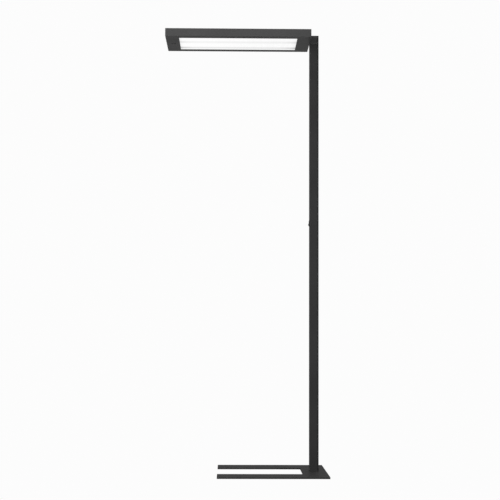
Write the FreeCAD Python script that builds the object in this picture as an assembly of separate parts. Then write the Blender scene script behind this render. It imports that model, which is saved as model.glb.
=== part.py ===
import FreeCAD, Part
import math
import os

from FreeCAD import Rotation, Vector

# Office floor lamp: a flat light head on a straight post, which stands on a U-shaped steel plate.
# Millimetres. The origin is on the floor, on the post's axis. The prongs of the base and the head
# reach towards -X, Y runs to the back and Z is up.

# ---------------------------------------------------------------- driving dimensions

total_height = 1952.0

# base plate and what it stands on
prong_reach = 426.0          # from the post's axis to the prong tips
heel_reach = 54.0            # from the post's axis to the closed edge of the U
base_depth = 500.0
base_thickness = 8.0
slot_width = 262.0
slot_end_offset = 54.0       # from the post's axis to the closed end of the slot
base_corner_radius = 3.0
base_edge_chamfer = 0.6
pad_radius = 15.0
pad_thickness = 1.0
pad_edge_inset = 25.0
centre_pad_radius = 22.0

# post: an extruded tube with a cable channel closed by a snapped-on strip
post_width = 41.0
post_depth = 35.0
tube_wall = 2.5
tube_edge_radius = 1.2
strip_width = 7.5
strip_wall = 1.6
strip_edge_radius = 6.0
rail_offset = 9.5            # from the middle of the post to the inner side of each rail
rail_thickness = 1.5
rail_length = 4.0
barb = 0.8
cap_thickness = 2.0
cap_rise = 2.0               # from the head's top to the post's top
cap_pin_radius = 2.0
cap_pin_length = 5.0
cap_pin_offset = 9.0

# blocks that plug into the two ends of the tube
foot_block_height = 30.0
spigot_length = 30.0
cable_bore_radius = 6.0
elbow_bore_radius = 5.5

# head
head_length = 643.0
head_depth = 300.0
head_height = 35.0
head_sheet = 1.5
head_corner_radius = 2.5
head_bottom_chamfer = 0.8
end_rim = 60.0
side_rim = 37.0
lid_sheet = 2.0

# light module, from the opening upwards
panel_overlap = 5.0
panel_flange = 1.8
panel_recess = 0.8           # from the rim's underside up to the panel's face
groove_offset = 57.0
groove_radius = 1.4
lower_reflector_height = 11.7
reflector_slope = 10.0
carrier_sheet = 1.5
upper_panel_thickness = 2.5
board_width = 18.0
board_thickness = 1.0
board_end_inset = 6.0
lower_board_count = 3
lower_board_pitch = 62.0
upper_board_count = 2
upper_board_pitch = 96.0
chips_per_board = 14
chip_size = 3.0
chip_height = 0.7

# driver, lying along the back of the head
driver_length = 280.0
driver_width = 26.0
driver_height = 21.0
driver_end_offset = 73.0     # from the post's end of the head to the driver
driver_tab_length = 12.0
driver_tab_thickness = 1.5
driver_edge_chamfer = 1.2
nut_across_flats = 7.0
nut_height = 3.2

# hexagonal lid pillars
pillar_radius = 4.0
pillar_end_inset = 18.0      # from the inner end wall to the pillar's centre
pillar_side_inset = 13.0     # from the inner side wall to the pillar's centre
pillar_driver_gap = 4.0      # from the driver's free end to the middle pillars

# sensor at the head's free end
sensor_end_offset = 30.0
sensor_hole_radius = 9.7
bezel_radius = 11.0
bezel_lip_radius = 7.0
bezel_lip_thickness = 0.8
bezel_proud = 1.0
sleeve_wall = 1.3
sleeve_height = 6.0
lens_drop = 2.0
lens_flange = 1.2
lens_skirt_wall = 1.0
dome_rings = 3
sensor_board_thickness = 1.6
sensor_can_radius = 13.0
sensor_can_height = 14.0

# bracket and corner block between head and post
bracket_sheet = 3.0
bracket_width = 50.0
bracket_height = 30.0
bracket_foot = 40.0
joint_screw_offset_y = 11.0
joint_screw_offset_z = 8.0
joint_screw_depth = 12.0

# rocker switch in the post, on the side under the head
switch_height = 1105.0
switch_flange = 1.5
switch_flange_margin_z = 1.8
switch_flange_margin_y = 1.5
switch_body_depth = 13.5
switch_wall = 1.0
rocker_radius = 10.4         # sweep of the rocker's ends about its pin
rocker_width = 11.4
rocker_tilt = 11.0           # to each side of its middle position, in degrees
rocker_middle_proud = 0.8
pivot_depth = 3.0            # from the flange's face in to the pin
rocker_belly = 2.2
pin_radius = 1.0
blade_length = 8.0
blade_width = 4.8
blade_thickness = 0.8
blade_offset = 7.0

# lead between the switch and the driver
lead_radius = 2.5
lead_sides = 8
lead_bend_radius = 8.0
lead_turn_radius = 12.0
lead_turn_offset = 31.0      # from the post's side to the lead's run across the head

# cable bush at the back of the post's foot
bush_height = 60.0
bush_hole_radius = 6.5
bush_bore_radius = 3.8
bush_flange_radius = 9.0
bush_outer_flange = 2.0
bush_inner_flange = 1.5
bush_chamfer = 0.8

# fasteners: shank radius and countersunk head radius
m6_radius, m6_head_radius = 3.0, 5.9
m5_radius, m5_head_radius = 2.5, 4.25
m4_radius, m4_head_radius = 2.0, 3.9
m3_radius, m3_head_radius = 1.5, 2.8
base_screw_length = 16.0
base_screw_offset_x = 7.0
base_screw_offset_y = 8.0
wall_screw_length = 10.0
wall_screw_offset = 7.0
m5_head_height = 5.0
m5_key = 4.0                 # across the corners of the hexagon socket
lid_screw_length = 8.0

# flat sides that stand for a full circle on small turned pieces
fastener_sides = 16
ring_sides = 24

# clearances
slip_gap = 0.2               # between a plug or a panel and what it slides into
screw_gap = 0.1              # around shanks and heads
running_gap = 0.05           # around the rocker's pin
rocker_gap = 0.3             # between the rocker and its frame
snap_gap = 0.3               # between the strip's hooks and the rails
lid_gap = 0.3                # around the lid

# ---------------------------------------------------------------- places that follow from them

plate_bottom = pad_thickness
plate_top = plate_bottom + base_thickness
base_left = -prong_reach
slot_end = -slot_end_offset
half_slot = slot_width / 2
half_base = base_depth / 2
prong_middle = (half_slot + half_base) / 2

post_left = -post_width / 2
post_right = post_width / 2
tube_right = post_right - strip_width
tube_middle = (post_left + tube_right) / 2
half_post = post_depth / 2

head_right = post_left
head_left = head_right - head_length
head_middle = (head_left + head_right) / 2
head_top = total_height - cap_rise
head_bottom = head_top - head_height
floor_in_head = head_bottom + head_sheet
lid_bottom = head_top - lid_sheet
lead_level = head_bottom + head_height / 2
half_head = head_depth / 2

opening_length = head_length - 2 * end_rim
opening_depth = head_depth - 2 * side_rim
module_length = opening_length + 2 * panel_overlap
module_depth = opening_depth + 2 * panel_overlap
panel_top = floor_in_head + panel_flange
carrier_bottom = panel_top + lower_reflector_height
carrier_top = carrier_bottom + carrier_sheet
upper_panel_bottom = lid_bottom - upper_panel_thickness

driver_right = head_right - driver_end_offset
driver_y = half_head - head_sheet - driver_width / 2 - 1.0
driver_bottom = floor_in_head
driver_left = driver_right - driver_length
driver_free_end = driver_left - driver_tab_length
stud_inset = driver_tab_length / 2

sensor_x = head_left + sensor_end_offset

switch_face = post_left - switch_flange
pivot_x = switch_face + pivot_depth
cavity_half_height = rocker_radius + rocker_gap
cavity_half_width = rocker_width / 2 + rocker_gap
switch_half_height = cavity_half_height + switch_wall
switch_half_width = cavity_half_width + switch_wall
switch_back = post_left + switch_body_depth


# ---------------------------------------------------------------- shapes used by several pieces

def box(x0, x1, y0, y1, z0, z1):
    return Part.makeBox(x1 - x0, y1 - y0, z1 - z0, Vector(x0, y0, z0))


def centred_box(x, y, length, depth, z0, z1):
    return box(x - length / 2, x + length / 2, y - depth / 2, y + depth / 2, z0, z1)


def rod(radius, start, direction, length):
    return Part.makeCylinder(radius, length, start, direction)


def upright_edges(shape, x=None):
    """Vertical edges of a prism, or only those at one x."""
    found = []
    for edge in shape.Edges:
        ends = [vertex.Point for vertex in edge.Vertexes]
        if len(ends) != 2:
            continue
        rise = ends[1] - ends[0]
        if abs(rise.x) + abs(rise.y) > 1e-6:
            continue
        if x is None or abs(ends[0].x - x) < 1e-6:
            found.append(edge)
    return found


def level_edges(shape, z):
    """Edges that lie wholly at one height."""
    return [edge for edge in shape.Edges
            if all(abs(vertex.Z - z) < 1e-6 for vertex in edge.Vertexes)]


def rounded(shape, radius, x=None):
    return shape.makeFillet(radius, upright_edges(shape, x))


def ring(radius, centre, direction, sides):
    """Corners of a regular polygon round the centre, square to the direction."""
    turn = Rotation(UP, direction)
    step = 2 * math.pi / sides
    return [centre + turn.multVec(Vector(radius * math.cos(i * step), radius * math.sin(i * step), 0))
            for i in range(sides)]


def outline(corners):
    return Part.makePolygon(corners + corners[:1])


def prism(radius, start, direction, length, sides=fastener_sides):
    return Part.Face(outline(ring(radius, start, direction, sides))).extrude(direction * length)


def turned(profile, centre, direction, sides=ring_sides):
    """A closed profile of (radius, advance) points, taken round the direction in flat facets."""
    rings = [ring(radius, centre + direction * advance, direction, sides)
             for radius, advance in profile]
    faces = []
    for here, there in zip(rings, rings[1:] + rings[:1]):
        for i in range(sides):
            corners = []
            for corner in (here[i - 1], here[i], there[i], there[i - 1]):
                if all(corner.distanceToPoint(other) > 1e-6 for other in corners):
                    corners.append(corner)
            if len(corners) > 2:
                faces.append(Part.Face(outline(corners)))
    solid = Part.makeSolid(Part.makeShell(faces))
    solid.fix(1e-6, 1e-6, 1e-6)
    return solid.removeSplitter()


def countersunk(shank_radius, head_radius, length, mouth, direction):
    """A flat head that lies at the mouth and narrows to a shank along the direction."""
    profile = [(0, 0), (head_radius, 0), (shank_radius, head_radius - shank_radius),
               (shank_radius, length), (0, length)]
    return turned(profile, mouth, direction, fastener_sides)


def countersunk_hole(shank_radius, head_radius, depth, mouth, direction):
    """The cut that takes such a screw with the screw clearance all round."""
    return countersunk(shank_radius + screw_gap, head_radius + screw_gap, depth, mouth, direction)


def cut_all(shape, tools):
    for tool in tools:
        shape = shape.cut(tool)
    return shape


def fuse_all(shapes):
    return shapes[0].multiFuse(shapes[1:]).removeSplitter()


def group(shapes):
    return Part.makeCompound(shapes)


UP = Vector(0, 0, 1)
DOWN = Vector(0, 0, -1)
FORWARD = Vector(0, -1, 0)
BACKWARD = Vector(0, 1, 0)
TO_POST = Vector(1, 0, 0)


# ---------------------------------------------------------------- base

def pad_spots():
    """Centres of the rubber pads: prong tips, mid prongs and the two heel corners."""
    tip_x = base_left + pad_edge_inset
    heel_x = heel_reach - pad_edge_inset
    mid_x = (tip_x + slot_end) / 2
    heel_y = half_base - pad_edge_inset
    spots = [(tip_x, prong_middle), (mid_x, prong_middle), (heel_x, heel_y)]
    return [(x, side * y) for x, y in spots for side in (-1, 1)]


def base_screw_spots():
    return [(tube_middle + sx * base_screw_offset_x, sy * base_screw_offset_y)
            for sx in (-1, 1) for sy in (-1, 1)]


def make_base_plate():
    plate = rounded(box(base_left, heel_reach, -half_base, half_base, plate_bottom, plate_top),
                    base_corner_radius)
    slot = rounded(box(base_left - slot_end_offset, slot_end, -half_slot, half_slot,
                       plate_bottom - 1, plate_top + 1), base_corner_radius, slot_end)
    plate = plate.cut(slot)
    plate = plate.makeChamfer(base_edge_chamfer, level_edges(plate, plate_top))
    holes = [countersunk_hole(m6_radius, m6_head_radius, base_thickness + 1,
                              Vector(x, y, plate_bottom), UP)
             for x, y in base_screw_spots()]
    return cut_all(plate, holes)


def make_rubber_pads():
    return group([prism(pad_radius, Vector(x, y, 0), UP, pad_thickness, ring_sides)
                  for x, y in pad_spots()])


def make_centre_pad():
    """The pad that covers the heads of the base screws."""
    return prism(centre_pad_radius, Vector(0, 0, 0), UP, pad_thickness, ring_sides)


def make_base_screws():
    return group([countersunk(m6_radius, m6_head_radius, base_screw_length,
                              Vector(x, y, plate_bottom), UP)
                  for x, y in base_screw_spots()])


# ---------------------------------------------------------------- post

def tube_plug(z0, z1):
    """A block that slides into the tube."""
    inset = tube_wall + slip_gap
    return box(post_left + inset, tube_right - inset, -half_post + inset, half_post - inset, z0, z1)


def foot_screw_level():
    """Above the tips of the base screws."""
    tip = plate_bottom + base_screw_length
    top = plate_top + foot_block_height
    return (tip + top) / 2 + m4_radius / 2


def spigot_screw_level():
    return head_bottom - spigot_length / 2


def wall_screw_mouths(level):
    return [Vector(tube_middle + side * wall_screw_offset, half_post, level) for side in (-1, 1)]


def wall_screws(level):
    return group([countersunk(m4_radius, m4_head_radius, wall_screw_length, mouth, FORWARD)
                  for mouth in wall_screw_mouths(level)])


def wall_screw_holes(level):
    depth = wall_screw_length + 1
    return [countersunk_hole(m4_radius, m4_head_radius, depth, mouth, FORWARD)
            for mouth in wall_screw_mouths(level)]


def make_post_tube():
    outer = box(post_left, tube_right, -half_post, half_post, plate_top, head_bottom)
    outer = rounded(outer, tube_edge_radius, post_left)
    inner = box(post_left + tube_wall, tube_right - tube_wall, -half_post + tube_wall,
                half_post - tube_wall, plate_top - 1, head_bottom + 1)
    tube = outer.cut(inner)
    rails = []
    for side in (-1, 1):
        inner_y = side * rail_offset
        outer_y = side * (rail_offset + rail_thickness)
        barb_y = side * (rail_offset + rail_thickness + barb)
        rails.append(box(tube_right, tube_right + rail_length, min(inner_y, outer_y),
                         max(inner_y, outer_y), plate_top, head_bottom))
        rails.append(box(tube_right + rail_length - barb, tube_right + rail_length,
                         min(inner_y, barb_y), max(inner_y, barb_y), plate_top, head_bottom))
    tube = fuse_all([tube] + rails)
    window = box(post_left - 1, post_left + tube_wall + 1,
                 -switch_half_width - slip_gap, switch_half_width + slip_gap,
                 switch_height - switch_half_height - slip_gap,
                 switch_height + switch_half_height + slip_gap)
    bush_hole = prism(bush_hole_radius, Vector(tube_middle, half_post + 1, bush_height), FORWARD,
                      tube_wall + 2, ring_sides)
    cuts = [window, bush_hole]
    cuts += wall_screw_holes(foot_screw_level())
    cuts += wall_screw_holes(spigot_screw_level())
    return cut_all(tube, cuts)


def make_channel_strip():
    top = total_height - cap_thickness
    outer = rounded(box(tube_right, post_right, -half_post, half_post, plate_top, top),
                    strip_edge_radius, post_right)
    web = post_right - strip_wall
    inner = rounded(box(tube_right - 1, web, -half_post + strip_wall, half_post - strip_wall,
                        plate_top - 1, top + 1), strip_edge_radius - strip_wall, web)
    strip = outer.cut(inner)
    hook_root = rail_offset + rail_thickness + barb + snap_gap
    hook_outer = hook_root + rail_thickness
    barb_top = tube_right + rail_length - barb - snap_gap
    hooks = []
    for side in (-1, 1):
        stem = sorted((side * hook_root, side * hook_outer))
        lip = sorted((side * (hook_root - barb), side * hook_outer))
        hooks.append(box(barb_top - barb, web, stem[0], stem[1], plate_top, top))
        hooks.append(box(barb_top - barb, barb_top, lip[0], lip[1], plate_top, top))
    return fuse_all([strip] + hooks)


def cap_pin_spots():
    return [(tube_middle + side * cap_pin_offset, 0) for side in (-1, 1)]


def make_post_cap():
    bottom = total_height - cap_thickness
    cap = box(post_left, post_right, -half_post, half_post, bottom, total_height)
    cap = rounded(cap, strip_edge_radius, post_right)
    pins = [prism(cap_pin_radius, Vector(x, y, bottom), DOWN, cap_pin_length)
            for x, y in cap_pin_spots()]
    return fuse_all([cap] + pins)


def make_foot_block():
    block = tube_plug(plate_top, plate_top + foot_block_height)
    depth = plate_bottom + base_screw_length + 1 - plate_top
    holes = [prism(m6_radius + screw_gap, Vector(x, y, plate_top), UP, depth)
             for x, y in base_screw_spots()]
    return cut_all(block, holes + wall_screw_holes(foot_screw_level()))


def make_cable_bush():
    """A rubber bush: a flange on each side of the wall and the bore for the mains cable."""
    neck_radius = bush_hole_radius - screw_gap
    inner_radius = bush_hole_radius + 1
    outer_end = bush_outer_flange
    inner_end = -tube_wall - bush_inner_flange
    mouth = Vector(tube_middle, half_post, bush_height)
    bush = turned([(0, outer_end), (bush_flange_radius - bush_chamfer, outer_end),
                   (bush_flange_radius, outer_end - bush_chamfer), (bush_flange_radius, 0),
                   (neck_radius, 0), (neck_radius, -tube_wall), (inner_radius, -tube_wall),
                   (inner_radius, inner_end), (0, inner_end)], mouth, BACKWARD)
    bore = rod(bush_bore_radius, mouth + BACKWARD * (outer_end + 1), FORWARD,
               outer_end - inner_end + 2)
    return bush.cut(bore)


# ---------------------------------------------------------------- joint between post and head

def joint_screw_spots():
    return [(sy * joint_screw_offset_y, lead_level + sz * joint_screw_offset_z)
            for sy in (-1, 1) for sz in (-1, 1)]


def make_corner_block():
    top = total_height - cap_thickness
    body = rounded(box(post_left, tube_right, -half_post, half_post, head_bottom, top),
                   tube_edge_radius, post_left)
    block = fuse_all([body, tube_plug(head_bottom - spigot_length, head_bottom)])
    upright = rod(cable_bore_radius, Vector(tube_middle, 0, head_bottom - spigot_length - 1), UP,
                  spigot_length + 1 + head_height / 2 + elbow_bore_radius)
    across = rod(elbow_bore_radius, Vector(post_left - 1, 0, lead_level), TO_POST,
                 tube_middle - post_left + 1)
    threads = [prism(m5_radius + screw_gap, Vector(post_left, y, z), TO_POST, joint_screw_depth)
               for y, z in joint_screw_spots()]
    pin_holes = [prism(cap_pin_radius + screw_gap, Vector(x, y, top), DOWN, cap_pin_length + 1)
                 for x, y in cap_pin_spots()]
    cuts = [upright, across] + threads + pin_holes + wall_screw_holes(spigot_screw_level())
    return cut_all(block, cuts)


def make_head_bracket():
    face = head_right - head_sheet
    back = face - bracket_sheet
    half = bracket_width / 2
    plate = box(back, face, -half, half, floor_in_head, floor_in_head + bracket_height)
    foot = box(back - bracket_foot, back, -half, half, floor_in_head, floor_in_head + bracket_sheet)
    gussets = []
    for y in (-half, half - bracket_sheet):
        corners = [Vector(back, y, floor_in_head + bracket_sheet),
                   Vector(back - bracket_foot, y, floor_in_head + bracket_sheet),
                   Vector(back, y, floor_in_head + bracket_height)]
        gussets.append(Part.Face(outline(corners)).extrude(Vector(0, bracket_sheet, 0)))
    bracket = fuse_all([plate, foot] + gussets)
    through = bracket_sheet + 2
    holes = [prism(m5_radius + screw_gap, Vector(back - 1, y, z), TO_POST, through)
             for y, z in joint_screw_spots()]
    holes.append(rod(elbow_bore_radius, Vector(back - 1, 0, lead_level), TO_POST, through))
    return cut_all(bracket, holes)


def make_joint_screws():
    seat = head_right - head_sheet - bracket_sheet
    screws = []
    for y, z in joint_screw_spots():
        top = Vector(seat - m5_head_height, y, z)
        head = prism(m5_head_radius, top, TO_POST, m5_head_height)
        socket = prism(m5_key / 2, top, TO_POST, m5_head_height / 2, 6)
        shank = prism(m5_radius, Vector(seat, y, z), TO_POST,
                      bracket_sheet + head_sheet + joint_screw_depth - 1)
        screws.append(head.cut(socket).fuse(shank).removeSplitter())
    return group(screws)


# ---------------------------------------------------------------- head

def pillar_spots():
    """Lid pillars: the four corners and a pair beside the driver's free end."""
    end_x = head_length / 2 - head_sheet - pillar_end_inset
    places = (head_middle - end_x, driver_free_end - pillar_driver_gap - pillar_radius,
              head_middle + end_x)
    y = half_head - head_sheet - pillar_side_inset
    return [(x, side * y) for x in places for side in (-1, 1)]


def stud_spots():
    return [(driver_left - stud_inset, driver_y), (driver_right + stud_inset, driver_y)]


def make_head_housing():
    """A folded tray: four walls and a floor that is cut out for the light."""
    outer = box(head_left, head_right, -half_head, half_head, head_bottom, head_top)
    outer = rounded(outer, head_corner_radius)
    outer = outer.makeChamfer(head_bottom_chamfer, level_edges(outer, head_bottom))
    inner = box(head_left + head_sheet, head_right - head_sheet, -half_head + head_sheet,
                half_head - head_sheet, floor_in_head, head_top + 1)
    inner = rounded(inner, head_corner_radius - head_sheet)
    tray = outer.cut(inner)
    opening = centred_box(head_middle, 0, opening_length, opening_depth, head_bottom - 1,
                          floor_in_head + 1)
    sensor_hole = prism(sensor_hole_radius, Vector(sensor_x, 0, head_bottom - 1), UP,
                        head_sheet + 2, ring_sides)
    lead_hole = rod(elbow_bore_radius, Vector(head_right - head_sheet - 1, 0, lead_level), TO_POST,
                    head_sheet + 2)
    screw_holes = [prism(m5_radius + screw_gap, Vector(head_right - head_sheet - 1, y, z), TO_POST,
                         head_sheet + 2) for y, z in joint_screw_spots()]
    return cut_all(tray, [opening, sensor_hole, lead_hole] + screw_holes)


def make_head_lid():
    inset = head_sheet + lid_gap
    lid = box(head_left + inset, head_right - inset, -half_head + inset, half_head - inset,
              lid_bottom, head_top)
    lid = rounded(lid, max(head_corner_radius - inset, 0.5))
    opening = centred_box(head_middle, 0, opening_length, opening_depth, lid_bottom - 1,
                          head_top + 1)
    holes = [countersunk_hole(m3_radius, m3_head_radius, lid_sheet + 1, Vector(x, y, head_top),
                              DOWN) for x, y in pillar_spots()]
    return cut_all(lid, [opening] + holes)


def make_lid_pillars():
    pillars = []
    for x, y in pillar_spots():
        pillar = prism(pillar_radius, Vector(x, y, floor_in_head), UP, lid_bottom - floor_in_head, 6)
        thread = prism(m3_radius + screw_gap, Vector(x, y, lid_bottom), DOWN, lid_screw_length)
        pillars.append(pillar.cut(thread))
    return group(pillars)


def make_lid_screws():
    return group([countersunk(m3_radius, m3_head_radius, lid_screw_length,
                              Vector(x, y, head_top), DOWN)
                  for x, y in pillar_spots()])


def make_lower_panel():
    """A flanged clear panel that fills the opening, with two grooves along its face."""
    face = head_bottom + panel_recess
    flange = centred_box(head_middle, 0, module_length, module_depth, floor_in_head, panel_top)
    field = centred_box(head_middle, 0, opening_length - 2 * slip_gap, opening_depth - 2 * slip_gap,
                        face, floor_in_head)
    start = head_middle - opening_length / 2
    grooves = [rod(groove_radius, Vector(start, side * groove_offset, face - groove_radius / 3),
                   TO_POST, opening_length) for side in (-1, 1)]
    return cut_all(fuse_all([flange, field]), grooves)


def rectangle(length, depth, z):
    return outline([Vector(head_middle + sx * length / 2, sy * depth / 2, z)
                    for sx, sy in ((-1, -1), (1, -1), (1, 1), (-1, 1))])


def reflector(z0, z1, narrow_end):
    """A frame with sloping inner walls that narrow towards the light boards."""
    wide = (opening_length, opening_depth)
    narrow = (opening_length - 2 * reflector_slope, opening_depth - 2 * reflector_slope)
    low, high = (wide, narrow) if narrow_end == z1 else (narrow, wide)
    funnel = Part.makeLoft([rectangle(low[0], low[1], z0), rectangle(high[0], high[1], z1)],
                           True, True)
    return centred_box(head_middle, 0, module_length, module_depth, z0, z1).cut(funnel)


def make_lower_reflector():
    return reflector(panel_top, carrier_bottom, carrier_bottom)


def make_upper_reflector():
    return reflector(carrier_top, upper_panel_bottom, carrier_top)


def make_board_carrier():
    return centred_box(head_middle, 0, module_length, module_depth, carrier_bottom, carrier_top)


def make_upper_panel():
    return centred_box(head_middle, 0, module_length, module_depth, upper_panel_bottom, lid_bottom)


def light_boards(count, pitch, face, direction):
    """Circuit strips with a row of light chips, on the face of the carrier."""
    length = opening_length - 2 * reflector_slope - 2 * board_end_inset
    chip_pitch = length / chips_per_board
    far = face + direction * board_thickness
    tip = far + direction * chip_height
    boards = []
    for row in range(count):
        y = (row - (count - 1) / 2) * pitch
        strip = centred_box(head_middle, y, length, board_width, min(face, far), max(face, far))
        chips = []
        for index in range(chips_per_board):
            x = head_middle - length / 2 + (index + 0.5) * chip_pitch
            chips.append(centred_box(x, y, chip_size, chip_size, min(far, tip), max(far, tip)))
        boards.append(fuse_all([strip] + chips))
    return group(boards)


def make_lower_boards():
    return light_boards(lower_board_count, lower_board_pitch, carrier_bottom, -1)


def make_upper_boards():
    return light_boards(upper_board_count, upper_board_pitch, carrier_top, 1)


def driver_box(x0, x1, height):
    return box(x0, x1, driver_y - driver_width / 2, driver_y + driver_width / 2, driver_bottom,
               driver_bottom + height)


def make_driver():
    body = driver_box(driver_left, driver_right, driver_height)
    body = body.makeChamfer(driver_edge_chamfer, level_edges(body, driver_bottom + driver_height))
    tabs = [driver_box(driver_free_end, driver_left, driver_tab_thickness),
            driver_box(driver_right, driver_right + driver_tab_length, driver_tab_thickness)]
    holes = [prism(m4_radius + screw_gap, Vector(x, y, driver_bottom - 1), UP,
                   driver_tab_thickness + 2) for x, y in stud_spots()]
    return cut_all(fuse_all([body] + tabs), holes)


def make_driver_studs():
    height = driver_tab_thickness + nut_height + 1
    return group([prism(m4_radius, Vector(x, y, driver_bottom), UP, height)
                  for x, y in stud_spots()])


def make_driver_nuts():
    corner = nut_across_flats / math.sqrt(3)
    bottom = driver_bottom + driver_tab_thickness
    nuts = []
    for x, y in stud_spots():
        nut = prism(corner, Vector(x, y, bottom), UP, nut_height, 6)
        thread = prism(m4_radius + screw_gap, Vector(x, y, bottom - 1), UP, nut_height + 2)
        nuts.append(nut.cut(thread))
    return group(nuts)


# ---------------------------------------------------------------- sensor

sleeve_radius = sensor_hole_radius - slip_gap
sleeve_bore = sleeve_radius - sleeve_wall
lens_seat = head_bottom - bezel_proud + bezel_lip_thickness
sleeve_top = head_bottom + sleeve_height
lens_radius = sleeve_bore - slip_gap


def turned_on_sensor(profile):
    """A profile of (radius, height) points round the sensor's axis."""
    return turned(profile, Vector(sensor_x, 0, 0), UP)


def make_sensor_bezel():
    bottom = head_bottom - bezel_proud
    return turned_on_sensor([
        (bezel_lip_radius, bottom), (bezel_radius - bezel_proud / 2, bottom),
        (bezel_radius, bottom + bezel_proud / 2), (bezel_radius, head_bottom),
        (sleeve_radius, head_bottom), (sleeve_radius, sleeve_top), (sleeve_bore, sleeve_top),
        (sleeve_bore, lens_seat), (bezel_lip_radius, lens_seat)])


def make_sensor_lens():
    """A domed lens on a flange, with a skirt that carries the sensor board."""
    dome_radius = bezel_lip_radius - slip_gap
    ball_radius = (dome_radius ** 2 + lens_drop ** 2) / (2 * lens_drop)
    dome_angle = math.asin(dome_radius / ball_radius)
    angles = [dome_angle * i / dome_rings for i in range(dome_rings + 1)]
    dome = [(ball_radius * math.sin(angle), lens_seat - lens_drop + ball_radius * (1 - math.cos(angle)))
            for angle in angles]
    skirt_radius = lens_radius - lens_skirt_wall
    skirt_bottom = lens_seat + lens_flange
    return turned_on_sensor(dome + [
        (lens_radius, lens_seat), (lens_radius, sleeve_top), (skirt_radius, sleeve_top),
        (skirt_radius, skirt_bottom), (0, skirt_bottom)])


def make_sensor_board():
    return prism(lens_radius, Vector(sensor_x, 0, sleeve_top), UP, sensor_board_thickness, ring_sides)


def make_sensor_can():
    """A cup that clips over the bezel's sleeve and closes the sensor from above."""
    shoulder = sleeve_top + slip_gap
    roof = sleeve_top + sensor_board_thickness + slip_gap
    top = floor_in_head + sensor_can_height
    board_pocket = lens_radius + slip_gap
    return turned_on_sensor([
        (sensor_hole_radius, floor_in_head), (sensor_can_radius, floor_in_head),
        (sensor_can_radius, top), (0, top), (0, roof), (board_pocket, roof),
        (board_pocket, shoulder), (sensor_hole_radius, shoulder)])


# ---------------------------------------------------------------- switch

def make_switch_housing():
    """A snap-in housing: a flange on the post, a body behind it and the rocker's cavity."""
    flange = box(switch_face, post_left, -switch_half_width - switch_flange_margin_y,
                 switch_half_width + switch_flange_margin_y,
                 switch_height - switch_half_height - switch_flange_margin_z,
                 switch_height + switch_half_height + switch_flange_margin_z)
    front = [edge for edge in flange.Edges
             if all(abs(vertex.X - switch_face) < 1e-6 for vertex in edge.Vertexes)]
    flange = flange.makeChamfer(switch_flange / 3, front)
    body = box(post_left, switch_back, -switch_half_width, switch_half_width,
               switch_height - switch_half_height, switch_height + switch_half_height)
    sweep = rocker_radius * math.sin(math.radians(rocker_tilt)) + rocker_belly
    cavity = box(switch_face - 1, pivot_x + sweep, -cavity_half_width, cavity_half_width,
                 switch_height - cavity_half_height, switch_height + cavity_half_height)
    pin_hole = rod(pin_radius + running_gap, Vector(pivot_x, -switch_half_width, switch_height),
                   Vector(0, 1, 0), 2 * switch_half_width)
    return fuse_all([flange, body]).cut(cavity).cut(pin_hole)


def make_rocker():
    """A dished rocker whose ends sweep round its pin, tipped so that its lower end stands out."""
    slope = math.tan(math.radians(rocker_tilt))
    rise = pivot_depth + rocker_middle_proud
    a = 1 + slope ** 2
    b = 2 * rise * slope
    c = rise ** 2 - rocker_radius ** 2
    end_z = (-b + math.sqrt(b ** 2 - 4 * a * c)) / (2 * a)
    end_out = rise + slope * end_z
    belly = 1.0
    belly_z = math.sqrt(rocker_radius ** 2 - belly ** 2)
    boss = rocker_radius / 3

    def point(out, z):
        return Vector(pivot_x - out, -rocker_width / 2, switch_height + z)

    def line(start, end):
        return Part.LineSegment(start, end).toShape()

    corners = [point(end_out, -end_z), point(rise, 0), point(end_out, end_z),
               point(-belly, belly_z), point(-belly, boss), point(-rocker_belly, boss - 1),
               point(-rocker_belly, 1 - boss), point(-belly, -boss), point(-belly, -belly_z)]
    edges = [line(corners[0], corners[1]), line(corners[1], corners[2]),
             Part.Arc(corners[2], point(0, rocker_radius), corners[3]).toShape()]
    edges += [line(corners[i], corners[i + 1]) for i in range(3, 8)]
    edges.append(Part.Arc(corners[8], point(0, -rocker_radius), corners[0]).toShape())
    rocker = Part.Face(Part.Wire(edges)).extrude(Vector(0, rocker_width, 0))
    bore = rod(pin_radius + running_gap, Vector(pivot_x, -rocker_width, switch_height),
               Vector(0, 1, 0), 2 * rocker_width)
    rocker = rocker.cut(bore)
    rocker.rotate(Vector(pivot_x, 0, switch_height), Vector(0, 1, 0), rocker_tilt)
    return rocker


def make_rocker_pin():
    return rod(pin_radius, Vector(pivot_x, -switch_half_width, switch_height), Vector(0, 1, 0),
               2 * switch_half_width)


def make_switch_blades():
    blades = []
    for side in (-1, 1):
        z = switch_height + side * blade_offset
        blades.append(box(switch_back, switch_back + blade_length, -blade_width / 2,
                          blade_width / 2, z - blade_thickness / 2, z + blade_thickness / 2))
    return group(blades)


def make_head_lead():
    """The inner lead: up the post from the switch, round the elbow and along to the driver."""
    lead_x = switch_back + blade_length / 2
    turn_x = head_right - lead_turn_offset
    start_z = switch_height + blade_offset + blade_thickness / 2
    corners = [Vector(lead_x, 0, start_z), Vector(lead_x, 0, lead_level),
               Vector(turn_x, 0, lead_level), Vector(turn_x, driver_y, lead_level),
               Vector(driver_right, driver_y, lead_level)]
    radii = [lead_bend_radius, lead_turn_radius, lead_turn_radius]
    edges = []
    here = corners[0]
    for i, radius in enumerate(radii):
        corner = corners[i + 1]
        arriving = (corner - corners[i]).normalize()
        leaving = (corners[i + 2] - corner).normalize()
        start = corner - arriving * radius
        end = corner + leaving * radius
        centre = corner - arriving * radius + leaving * radius
        middle = centre + (corner - centre).normalize() * radius
        edges.append(Part.LineSegment(here, start).toShape())
        edges.append(Part.Arc(start, middle, end).toShape())
        here = end
    edges.append(Part.LineSegment(here, corners[-1]).toShape())
    section = outline(ring(lead_radius, corners[0], UP, lead_sides))
    return Part.Wire(edges).makePipeShell([section], True, False)


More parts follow.
